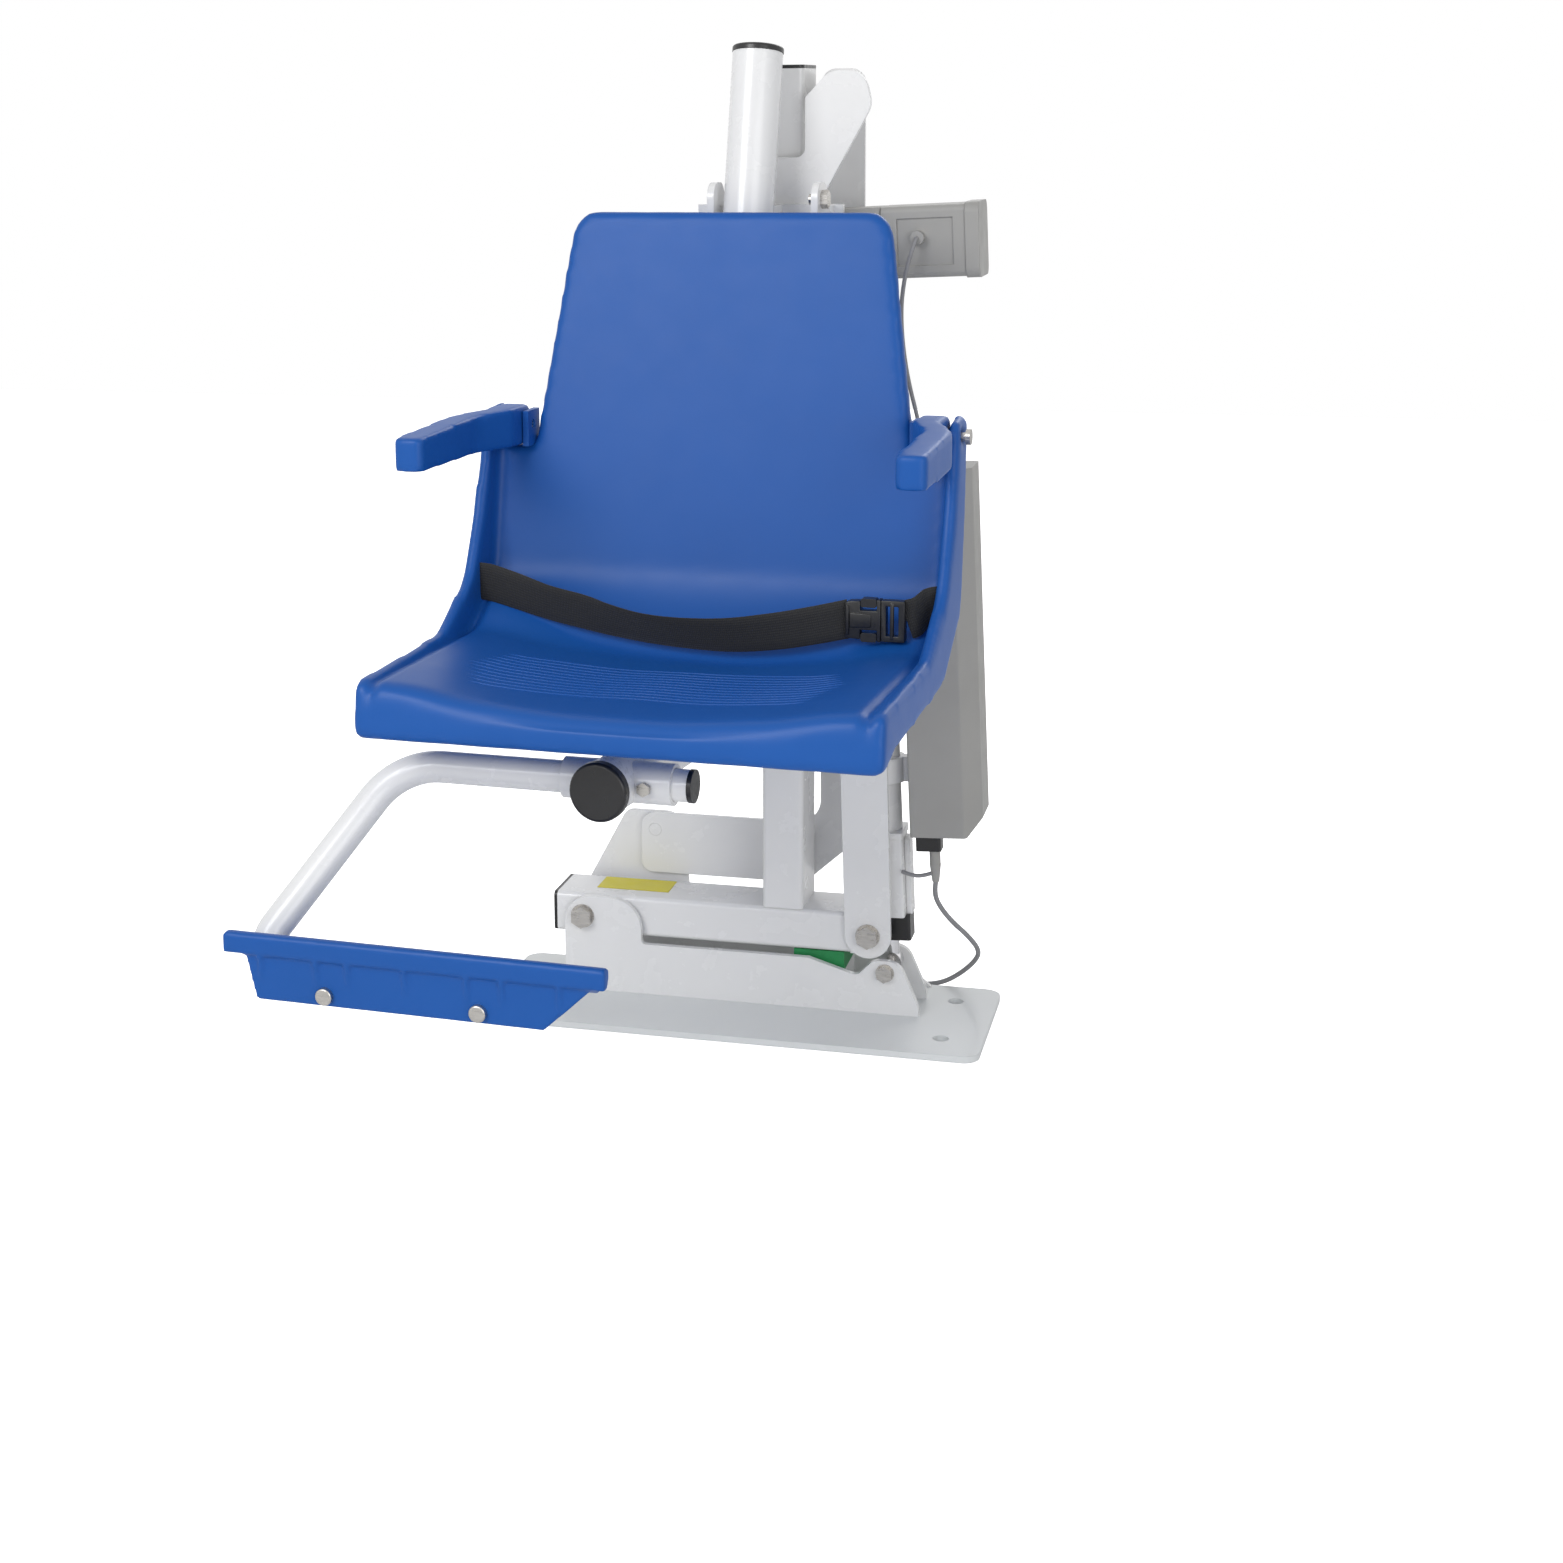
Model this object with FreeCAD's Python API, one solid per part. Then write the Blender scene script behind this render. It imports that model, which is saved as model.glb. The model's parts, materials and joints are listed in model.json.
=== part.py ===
# Pool patient lift: deck plate, swinging mast, levelling link, linear actuator and seat.
# Millimetres. Origin at the centre of the deck plate's underside. +X runs along the deck plate
# away from the pool, -Y is the side that the seat faces, +Z is up.
import FreeCAD, Part
import math
import os

V = FreeCAD.Vector
X_AXIS = V(1, 0, 0)
Y_AXIS = V(0, 1, 0)
Z_AXIS = V(0, 0, 1)

# Deck plate
deck_length = 610.0
deck_depth = 230.0
deck_thick = 8.0
deck_corner_r = 20.0
anchor_hole_r = 9.5
anchor_inset = 50.0
anchor_pitch = 127.0

# Pivots of the parallelogram, and the actuator's two lower pivots
mast_pivot_x = -200.0
mast_pivot_z = 103.0
mast_top_x = 50.0
post_top_z = 1130.0
crank_below_top = 120.0
mast_top_z = post_top_z - crank_below_top
level_dx = 68.0
level_dz = 87.0
trunnion_x = 156.0
ram_foot_x = 178.0
ram_foot_z = 60.0

# Tubes of the mast
arm_height = 50.0
arm_y0 = 10.0
arm_depth = 80.0
arm_wall = 4.0
arm_left_x = -236.0
arm_right_x = 130.0
post_width = 50.0
post_wall = 3.0
tube_corner_r = 6.0
cap_thick = 4.0
cap_plug = 12.0

# Rest block and pad under the arm
pad_x0 = 64.0
pad_long = 62.0

# Plates and running clearances
near_plate_y0 = -1.0
side_plate_thick = 8.0
far_plate_thick = 6.0
side_plate_top_z = 54.0
near_plate_mid_z = 72.0
link_thick = 6.0
lug_thick = 8.0
strap_thick = 6.0
strap_r = 28.0
crank_thick = 8.0
side_gap = 2.0
link_gap = 8.0
ear_r = 15.0

# Bolts and pins
pivot_bolt_r = 8.0
foot_bolt_r = 6.0
crank_pin_r = 10.0
link_pin_r = 8.0
bush_wall = 7.0
pin_clear = 0.05
hole_clear = 0.2
bolt_head_high = 10.0
foot_head_high = 8.0
nut_high = 12.0

# Actuator, its lean, and the boxes that it carries
ram_lean_deg = 2.5
ram_y = 46.0
rod_r = 11.0
eye_r = 14.0
eye_thick = 20.0
ram_tube_r = 20.0
ram_tube_bore_r = 12.0
shoe_half = 24.0
shoe_u0 = -26.0
shoe_u1 = 22.0
gland_low = 30.0
gland_high = 62.0
shoe_high = 160.0
collar_high = 168.0
ram_tube_top = 830.0
head_high = 912.0
motor_len = 98.0
control_low = 168.0
control_high = 608.0
control_u0 = 35.0
control_width = 85.0
control_y0 = 5.0
control_depth = 80.0
control_chamfer = 20.0

# Seat frame and seat shell, in the seat's own axes
seat_x = 33.0
seat_y = -40.0
seat_yaw_deg = -3.0
seat_tube_r = 28.5
seat_tube_wall = 3.0
seat_tube_top_z = 1147.0
seat_tube_low_z = 413.0
seat_tube_bend_r = 90.0
seat_tube_end_x = -36.0
seat_tube_end_y = -470.0
lug_left = 36.0
lug_right = 76.0
seat_mid = -6.0
seat_front = -535.0
seat_wall = 18.0
seat_back_top_z = 975.0
seat_pan_z = 514.0
seat_lip_low_z = 464.0
back_half_top = 180.0
shoulder_half = 217.0
shoulder_z = 715.0
ear_high = 44.0
ear_top_z = shoulder_z + ear_high
front_half = 274.0
wing_thick = 16.0

# Footrest
foot_tube_r = 16.8
foot_tube_wall = 2.6
sleeve_r = 21.5
sleeve_gap = 0.4
foot_pivot_y = -430.0
tray_left = -394.0
tray_right = 14.0
tray_front = -612.0
tray_top_z = 276.0
tray_low_z = 206.0
tray_lip = 22.0
tray_wall = 5.0
tray_slope = 0.55
tray_depth = 118.0
foot_run_y = -585.0
foot_run_z = 218.0

# Belt
web_width = 42.0
web_thick = 3.0
belt_y = -214.0
belt_low_z = 548.0
belt_sag = 30.0
belt_lift = 14.0

# Armrests
arm_pin_r = 5.0
arm_reach = 246.0
arm_wide = 30.0
arm_out = 280.0

# Free lead from the strain relief to the deck behind the plate
free_lead_r = 3.0
held_lead_r = 2.4
motor_lead = [V(68, 4, 876), V(67, -6, 872), V(56, -8, 842), V(46, 2, 792), V(47, 22, 722),
              V(60, 38, 650), V(64, 44, 607)]
free_lead = [(233, 22, 158), (238, 33, 138), (251, 52, 113), (268, 72, 90), (280, 94, 64),
             (271, 112, 43), (251, 122, 22), (230, 126, 8), (205, 124, 3.8), (178, 123, 6.4)]

parts = {}


def box(x0, x1, y0, y1, z0, z1):
    return Part.makeBox(x1 - x0, y1 - y0, z1 - z0, V(x0, y0, z0))


def rod(centre, axis, radius, length):
    return Part.makeCylinder(radius, length, V(*centre), axis)


def y_rod(x, z, y0, y1, radius):
    return rod((x, y0, z), Y_AXIS, radius, y1 - y0)


def rounded_wire(points, radii):
    """A closed wire of straight runs joined by tangent arcs, one radius for each corner."""
    count = len(points)
    starts = []
    ends = []
    middles = []
    for i in range(count):
        before = points[i - 1]
        here = points[i]
        after = points[(i + 1) % count]
        radius = radii[i]
        to_before = (before - here).normalize()
        to_after = (after - here).normalize()
        half = to_before.getAngle(to_after) / 2
        if radius <= 0 or abs(half - math.pi / 2) < 1e-6:
            starts.append(here)
            ends.append(here)
            middles.append(None)
            continue
        reach = radius / math.tan(half)
        starts.append(here + to_before * reach)
        ends.append(here + to_after * reach)
        inward = (to_before + to_after).normalize()
        middles.append(here + inward * (radius / math.sin(half) - radius))
    edges = []
    for i in range(count):
        if middles[i] is not None:
            edges.append(Part.Arc(starts[i], middles[i], ends[i]).toShape())
        following = (i + 1) % count
        if (ends[i] - starts[following]).Length > 1e-6:
            edges.append(Part.LineSegment(ends[i], starts[following]).toShape())
    return Part.Wire(edges)


def prism_xz(corners, y0, y1):
    """A plate in the XZ plane from (x, z, corner radius) triples."""
    points = [V(x, y0, z) for x, z, r in corners]
    wire = rounded_wire(points, [r for x, z, r in corners])
    return Part.Face(wire).extrude(V(0, y1 - y0, 0))


def prism_yz(corners, x0, x1):
    """A plate in the YZ plane from (y, z, corner radius) triples."""
    points = [V(x0, y, z) for y, z, r in corners]
    wire = rounded_wire(points, [r for y, z, r in corners])
    return Part.Face(wire).extrude(V(x1 - x0, 0, 0))


def prism_xy(corners, z0, z1):
    """A plate in the XY plane from (x, y, corner radius) triples."""
    points = [V(x, y, z0) for x, y, r in corners]
    wire = rounded_wire(points, [r for x, y, r in corners])
    return Part.Face(wire).extrude(V(0, 0, z1 - z0))


def rect_corners(a0, a1, b0, b1, r):
    return [(a0, b0, r), (a1, b0, r), (a1, b1, r), (a0, b1, r)]


def path_wire(points, radii):
    """An open wire of straight runs joined by tangent arcs at the inner points."""
    edges = []
    last = points[0]
    for i in range(1, len(points) - 1):
        here = points[i]
        to_before = (points[i - 1] - here).normalize()
        to_after = (points[i + 1] - here).normalize()
        half = to_before.getAngle(to_after) / 2
        reach = radii[i - 1] / math.tan(half)
        start = here + to_before * reach
        end = here + to_after * reach
        inward = (to_before + to_after).normalize()
        middle = here + inward * (radii[i - 1] / math.sin(half) - radii[i - 1])
        if (start - last).Length > 1e-6:
            edges.append(Part.LineSegment(last, start).toShape())
        edges.append(Part.Arc(start, middle, end).toShape())
        last = end
    edges.append(Part.LineSegment(last, points[-1]).toShape())
    return Part.Wire(edges)


def sweep(points, radii, radius):
    wire = path_wire(points, radii)
    first = (points[1] - points[0]).normalize()
    ring = Part.Wire(Part.makeCircle(radius, points[0], first))
    return wire.makePipeShell([ring], True, False)


def bent_tube(points, radii, radius, wall):
    return sweep(points, radii, radius).cut(sweep(points, radii, radius - wall))


def hexagon(x, y0, z, across, height):
    """A hexagon head or nut with its axis along Y."""
    corner = across / math.sqrt(3)
    points = []
    for i in range(6):
        turn = math.radians(60 * i + 30)
        points.append(V(x + corner * math.cos(turn), y0, z + corner * math.sin(turn)))
    return Part.Face(Part.makePolygon(points + points[:1])).extrude(V(0, height, 0))


def hex_bolt(x, z, y_face, y_tip, radius, head, nut_face=None, nut=0.0):
    """A bolt along Y with its head in front of y_face, and a nut behind nut_face."""
    across = radius * 3.0
    shape = y_rod(x, z, y_face - head / 2, y_tip, radius)
    shape = shape.fuse(hexagon(x, y_face - head, z, across, head - 1.5))
    shape = shape.fuse(y_rod(x, z, y_face - 1.5, y_face, across * 0.62))
    if nut_face is not None:
        shape = shape.fuse(hexagon(x, nut_face, z, across, nut))
    return shape.removeSplitter()


# Planes across the mechanism, front to back
near_plate_y1 = near_plate_y0 + side_plate_thick
arm_y1 = arm_y0 + arm_depth
strap_y0 = arm_y0 - strap_thick
crank_y1 = strap_y0 - side_gap
crank_y0 = crank_y1 - crank_thick
link_y0 = arm_y1 + link_gap
link_y1 = link_y0 + link_thick
far_plate_y0 = link_y1 + side_gap
far_plate_y1 = far_plate_y0 + far_plate_thick
level_pivot_x = mast_pivot_x + level_dx
level_pivot_z = mast_pivot_z + level_dz
crank_link_x = mast_top_x + level_dx
crank_link_z = mast_top_z + level_dz
arm_low_z = mast_pivot_z - arm_height / 2
arm_top_z = mast_pivot_z + arm_height / 2
bush_r = pivot_bolt_r + bush_wall
crank_bush_r = crank_pin_r + bush_wall


# Deck plate and the two side plates that stand on it
def make_base():
    plate = prism_xy(rect_corners(-deck_length / 2, deck_length / 2,
                                  -deck_depth / 2, deck_depth / 2, deck_corner_r), 0, deck_thick)
    hole_x = deck_length / 2 - anchor_inset
    for x, y in ((hole_x, anchor_pitch / 2), (hole_x, -anchor_pitch / 2), (-hole_x, 0)):
        plate = plate.cut(rod((x, y, -1), Z_AXIS, anchor_hole_r, deck_thick + 2))
    parts["deck_plate"] = plate

    left = mast_pivot_x - 23
    right = ram_foot_x + 41
    ear_top = mast_pivot_z + 26
    ear_right = mast_pivot_x + 75
    foot_top = ram_foot_z + ear_r
    profile = [(left, deck_thick, 0), (left, ear_top, 34), (ear_right, ear_top, 40),
               (ear_right, near_plate_mid_z, 5), (pad_x0 + 20, near_plate_mid_z, 5),
               (pad_x0 + 60, side_plate_top_z + 6, 5), (ram_foot_x - 34, side_plate_top_z, 12),
               (ram_foot_x - 14, foot_top, 14), (ram_foot_x + 17, foot_top, 22),
               (right, deck_thick + 12, 30), (right, deck_thick, 0)]
    near = prism_xz(profile, near_plate_y0, near_plate_y1)
    near = near.cut(y_rod(mast_pivot_x, mast_pivot_z, near_plate_y0 - 1, near_plate_y1 + 1,
                          pivot_bolt_r + pin_clear))
    near = near.cut(y_rod(ram_foot_x, ram_foot_z, near_plate_y0 - 1, near_plate_y1 + 1,
                          foot_bolt_r + hole_clear))
    parts["side_plate_near"] = near

    top = level_pivot_z + 22
    profile = [(left, deck_thick, 0), (left, mast_pivot_z + 12, 20), (left + 52, top, 14),
               (level_pivot_x + 34, top, 24), (level_pivot_x + 46, side_plate_top_z, 20),
               (right - 60, side_plate_top_z, 20), (right, deck_thick, 0)]
    far = prism_xz(profile, far_plate_y0, far_plate_y1)
    far = far.cut(y_rod(mast_pivot_x, mast_pivot_z, far_plate_y0 - 1, far_plate_y1 + 1,
                        pivot_bolt_r + pin_clear))
    far = far.cut(y_rod(level_pivot_x, level_pivot_z, far_plate_y0 - 1, far_plate_y1 + 1,
                        link_pin_r))
    parts["side_plate_far"] = far

    ear_y0 = ram_y + eye_thick / 2 + 6
    ear = prism_xz([(ram_foot_x - 34, deck_thick, 0), (ram_foot_x - 14, foot_top, 14),
                    (ram_foot_x + 17, foot_top, 22), (right, deck_thick + 12, 30),
                    (right, deck_thick, 0)], ear_y0, ear_y0 + side_plate_thick)
    ear = ear.cut(y_rod(ram_foot_x, ram_foot_z, ear_y0 - 1, ear_y0 + side_plate_thick + 1,
                        foot_bolt_r + hole_clear))
    parts["ram_foot_ear"] = ear

    parts["arm_rest_block"] = box(pad_x0, pad_x0 + pad_long, arm_y0 + 6, arm_y1 - 6,
                                  deck_thick, side_plate_top_z)
    parts["arm_rest_pad"] = box(pad_x0, pad_x0 + pad_long, arm_y0 + 2, arm_y1 - 2,
                                side_plate_top_z, arm_low_z - 0.3)

    pivot = hex_bolt(mast_pivot_x, mast_pivot_z, near_plate_y0, far_plate_y1 + nut_high + 3,
                     pivot_bolt_r, bolt_head_high, far_plate_y1, nut_high)
    parts["mast_pivot_bolt"] = pivot
    front = hex_bolt(ram_foot_x, ram_foot_z, near_plate_y0, ram_y - eye_thick / 2 - 0.5,
                     foot_bolt_r, foot_head_high)
    back = y_rod(ram_foot_x, ram_foot_z, ram_y + eye_thick / 2 + 0.5,
                 ear_y0 + side_plate_thick + 12, foot_bolt_r)
    back = back.fuse(hexagon(ram_foot_x, ear_y0 + side_plate_thick, ram_foot_z,
                             foot_bolt_r * 3, 10))
    parts["ram_foot_bolt"] = Part.makeCompound([front, back])
    pin = y_rod(level_pivot_x, level_pivot_z, link_y0, far_plate_y1 + 4, link_pin_r)
    parts["level_pivot_pin"] = pin


# Mast: the arm that turns on the deck plate, and the post that stands on it
def box_tube(corners_of, outer0, outer1, depth0, depth1, wall, low, high):
    outer = corners_of(rect_corners(outer0, outer1, depth0, depth1, tube_corner_r), low, high)
    inner = corners_of(rect_corners(outer0 + wall, outer1 - wall, depth0 + wall, depth1 - wall,
                                    tube_corner_r - wall / 2), low - 1, high + 1)
    return outer.cut(inner)


def make_mast():
    arm = box_tube(prism_yz, arm_y0, arm_y1, arm_low_z, arm_top_z, arm_wall,
                   arm_left_x, arm_right_x)
    bush_hole = y_rod(mast_pivot_x, mast_pivot_z, arm_y0 - 1, arm_y1 + 1, bush_r)
    parts["mast_arm"] = arm.cut(bush_hole)
    bush = y_rod(mast_pivot_x, mast_pivot_z, near_plate_y1 + 0.5, link_y0 - 2, bush_r)
    bush = bush.cut(y_rod(mast_pivot_x, mast_pivot_z, near_plate_y1, link_y0,
                          pivot_bolt_r + pin_clear))
    lower_bush = bush

    cap = prism_yz(rect_corners(arm_y0, arm_y1, arm_low_z, arm_top_z, tube_corner_r),
                   arm_left_x - cap_thick, arm_left_x)
    plug_in = arm_wall + 0.2
    plug = prism_yz(rect_corners(arm_y0 + plug_in, arm_y1 - plug_in, arm_low_z + plug_in,
                                 arm_top_z - plug_in, tube_corner_r), arm_left_x, arm_left_x + cap_plug)
    end_cap = cap.fuse(plug).removeSplitter()

    post_x0 = mast_top_x - post_width / 2
    post_x1 = mast_top_x + post_width / 2
    post = box_tube(prism_xy, post_x0, post_x1, arm_y0, arm_y1, post_wall, arm_top_z, post_top_z)
    parts["mast_post"] = post.cut(y_rod(mast_top_x, mast_top_z, arm_y0 - 1, arm_y1 + 1,
                                        crank_bush_r))
    bush = y_rod(mast_top_x, mast_top_z, arm_y0, link_y0 - 1, crank_bush_r)
    upper_bush = bush.cut(y_rod(mast_top_x, mast_top_z, arm_y0 - 1, link_y0,
                                crank_pin_r + pin_clear))
    parts["mast_bushes"] = Part.makeCompound([lower_bush, upper_bush])
    cap = prism_xy(rect_corners(post_x0, post_x1, arm_y0, arm_y1, tube_corner_r),
                   post_top_z, post_top_z + cap_thick)
    plug_in = post_wall + 0.2
    plug = prism_xy(rect_corners(post_x0 + plug_in, post_x1 - plug_in, arm_y0 + plug_in,
                                 arm_y1 - plug_in, tube_corner_r), post_top_z - cap_plug, post_top_z)
    parts["mast_caps"] = Part.makeCompound([end_cap, cap.fuse(plug).removeSplitter()])

    end_thick = 4.0
    lug = prism_xz([(arm_right_x + end_thick, arm_low_z, 0), (trunnion_x + 24, arm_low_z, 23),
                    (trunnion_x + 24, arm_top_z, 23), (arm_right_x + end_thick, arm_top_z, 0)],
                   arm_y0, arm_y0 + lug_thick)
    end = prism_yz(rect_corners(arm_y0, arm_y1, arm_low_z, arm_top_z, tube_corner_r),
                   arm_right_x, arm_right_x + end_thick)
    lug = lug.fuse(end).removeSplitter()
    parts["arm_end_lug"] = lug.cut(y_rod(trunnion_x, mast_pivot_z, arm_y0 - 1,
                                         arm_y0 + lug_thick + 1, pivot_bolt_r + pin_clear))


# Levelling link: an L-shaped plate from the deck plate's tall ear to the seat crank
def make_link():
    leg_low = level_pivot_z - 56
    leg_high = level_pivot_z + 22
    upright_x0 = crank_link_x - 38
    upright_x1 = crank_link_x + 13
    profile = [(level_pivot_x - 18, leg_low, 14), (upright_x0 - 20, leg_low, 12),
               (upright_x1, leg_low + 64, 20), (upright_x1, crank_link_z + 33, 16),
               (upright_x0, crank_link_z + 33, 16), (upright_x0, leg_high, 30),
               (level_pivot_x - 18, leg_high, 18)]
    link = prism_xz(profile, link_y0, link_y1)
    link = link.cut(y_rod(level_pivot_x, level_pivot_z, link_y0 - 1, link_y1 + 1,
                          link_pin_r + pin_clear))
    parts["levelling_link"] = link.cut(y_rod(crank_link_x, crank_link_z, link_y0 - 1,
                                             link_y1 + 1, link_pin_r + pin_clear))


# Actuator: built upright about its foot pivot, then leaned and placed
def place_ram(shape):
    shape = shape.copy()
    shape.rotate(V(0, 0, 0), V(0, -1, 0), ram_lean_deg)
    shape.translate(V(ram_foot_x, 0, ram_foot_z))
    return shape


def ram_local(x, z):
    turn = math.radians(ram_lean_deg)
    dx = x - ram_foot_x
    dz = z - ram_foot_z
    return dx * math.cos(turn) + dz * math.sin(turn), dz * math.cos(turn) - dx * math.sin(turn)


def make_ram():
    pivot_u, pivot_w = ram_local(trunnion_x, mast_pivot_z)
    shoe_y0 = ram_y - shoe_half
    shoe_y1 = ram_y + shoe_half
    local = {}

    rod_top = ram_tube_top - 120
    bar = rod((0, ram_y, eye_r - 4), Z_AXIS, rod_r, rod_top)
    eye = y_rod(0, 0, ram_y - eye_thick / 2, ram_y + eye_thick / 2, eye_r)
    eye_hole = y_rod(0, 0, ram_y - eye_thick, ram_y + eye_thick, foot_bolt_r + hole_clear)
    local["ram_rod"] = bar.cut(y_rod(0, 0, 0, 100, eye_r)).removeSplitter()
    local["ram_rod_eye"] = eye.cut(eye_hole)

    bore = rod((0, ram_y, 0), Z_AXIS, ram_tube_bore_r, ram_tube_top - 20)
    gland = prism_xy(rect_corners(-17, 27, ram_y - 12.5, ram_y + 22, 3), gland_low, gland_high)
    local["ram_gland"] = gland.cut(rod((0, ram_y, gland_low - 1), Z_AXIS, rod_r + 0.1, 60))
    shoe = prism_xy(rect_corners(shoe_u0, shoe_u1, shoe_y0, shoe_y1, 3), gland_high, shoe_high)
    local["ram_shoe"] = shoe.cut(bore)
    collar = prism_xy(rect_corners(shoe_u0 - 1, shoe_u1 + 1, shoe_y0 - 2, shoe_y1 + 2, 3),
                      shoe_high, collar_high)
    local["ram_collar"] = collar.cut(bore)
    local["ram_cable_cover"] = prism_xy(rect_corners(shoe_u1, shoe_u1 + 7, shoe_y0 + 18,
                                                     shoe_y1 - 6, 2), gland_high, shoe_high - 4)
    tube = rod((0, ram_y, collar_high), Z_AXIS, ram_tube_r, ram_tube_top - collar_high)
    local["ram_tube"] = tube.cut(bore)
    head = prism_xy(rect_corners(-26, 26, arm_y0, ram_y + 26, 6), ram_tube_top, head_high)
    top_u = -8.0
    top_w = ram_tube_top + 45
    head_hole = y_rod(top_u, top_w, 0, arm_y0 + 22, pivot_bolt_r)
    local["ram_head"] = head.cut(head_hole)

    side = math.atan2(top_w - pivot_w, top_u - pivot_u) - math.pi / 2
    strap = rod((pivot_u, strap_y0, pivot_w), Y_AXIS, strap_r, strap_thick)
    strap = strap.fuse(rod((top_u, strap_y0, top_w), Y_AXIS, strap_r, strap_thick))
    reach_u = strap_r * math.cos(side)
    reach_w = strap_r * math.sin(side)
    web = prism_xz([(pivot_u - reach_u, pivot_w - reach_w, 0),
                    (pivot_u + reach_u, pivot_w + reach_w, 0),
                    (top_u + reach_u, top_w + reach_w, 0),
                    (top_u - reach_u, top_w - reach_w, 0)], strap_y0, arm_y0)
    strap = strap.fuse(web).removeSplitter()
    for u, w in ((pivot_u, pivot_w), (top_u, top_w)):
        strap = strap.cut(y_rod(u, w, 0, arm_y0 + 1, pivot_bolt_r))
    local["ram_strap"] = strap
    nut_face = arm_y0 + lug_thick + 0.3
    local["strap_bolts"] = Part.makeCompound([
        hex_bolt(pivot_u, pivot_w, strap_y0, nut_face + 10, pivot_bolt_r, bolt_head_high,
                 nut_face, 9.0),
        hex_bolt(top_u, top_w, strap_y0, arm_y0 + 20, pivot_bolt_r, bolt_head_high)])

    motor_y0 = control_y0 + 6
    motor_y1 = control_y0 + control_depth
    motor = prism_yz(rect_corners(motor_y0, motor_y1, ram_tube_top, head_high, 7), 26, 24 + motor_len)
    local["motor_box"] = motor.cut(prism_yz(rect_corners(motor_y0 - 5, motor_y0 + 2,
                                                         ram_tube_top + 14, head_high - 14, 1.5),
                                            44, 24 + motor_len - 14))
    inlet = y_rod(motor_lead[0].x, motor_lead[0].z, motor_lead[0].y - 1, motor_y0 + 4, 8)
    local["motor_box"] = local["motor_box"].fuse(inlet).removeSplitter()
    local["motor_end_cap"] = prism_yz(rect_corners(motor_y0 - 2, motor_y1 + 2, ram_tube_top - 2,
                                                   head_high + 2, 12),
                                      24 + motor_len, 40 + motor_len)
    control_u1 = control_u0 + control_width
    outline = [(control_u0, control_y0, 3), (control_u1 - control_chamfer, control_y0, 4),
               (control_u1, control_y0 + control_chamfer, 4),
               (control_u1, control_y0 + control_depth, 4),
               (control_u0, control_y0 + control_depth, 4)]
    control = prism_xy(outline, control_low, control_high)
    trim = prism_xz([(control_u1 - 18, control_low - 1, 0), (control_u1 + 1, control_low - 1, 0),
                     (control_u1 + 1, control_low + 22, 0)], 0, control_y0 + control_depth + 5)
    control = control.cut(trim)
    local["control_box"] = control
    brackets = []
    for low in (control_low + 60, control_high - 80):
        clamp = rod((0, ram_y, low), Z_AXIS, ram_tube_r + 6, 30)
        arm = box(10, control_u0, ram_y - 8, ram_y + 8, low, low + 30)
        clamp = clamp.fuse(arm).cut(rod((0, ram_y, low - 1), Z_AXIS, ram_tube_r, 32))
        brackets.append(clamp.removeSplitter())
    local["box_brackets"] = Part.makeCompound(brackets)

    plug_u = control_u0 + 27
    plug_y = control_y0 + 16
    local["charge_socket"] = prism_xy(rect_corners(plug_u - 21, plug_u + 9, plug_y - 12,
                                                   plug_y + 12, 3), control_low - 18, control_low)
    plug_low = control_low - 36
    plug = rod((plug_u, plug_y, plug_low), Z_AXIS, 6.5, 18)
    relief = Part.makeCone(4.2, 6.8, 22, V(plug_u, plug_y, plug_low - 22), Z_AXIS)
    local["lead_plug"] = plug.fuse(relief).removeSplitter()
    for name, shape in local.items():
        parts[name] = place_ram(shape)


# Seat carrier: cranks on the post's top, the pins through them, and the bent seat tube
def place_seat(shape):
    shape = shape.copy()
    shape.rotate(V(0, 0, 0), Z_AXIS, seat_yaw_deg)
    shape.translate(V(seat_x, seat_y, 0))
    return shape


def seat_tube_points():
    lean_y = -132.0
    return [V(0, 0, seat_tube_top_z), V(-12, lean_y, seat_tube_low_z),
            V(seat_tube_end_x, seat_tube_end_y, seat_tube_low_z)]


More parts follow.
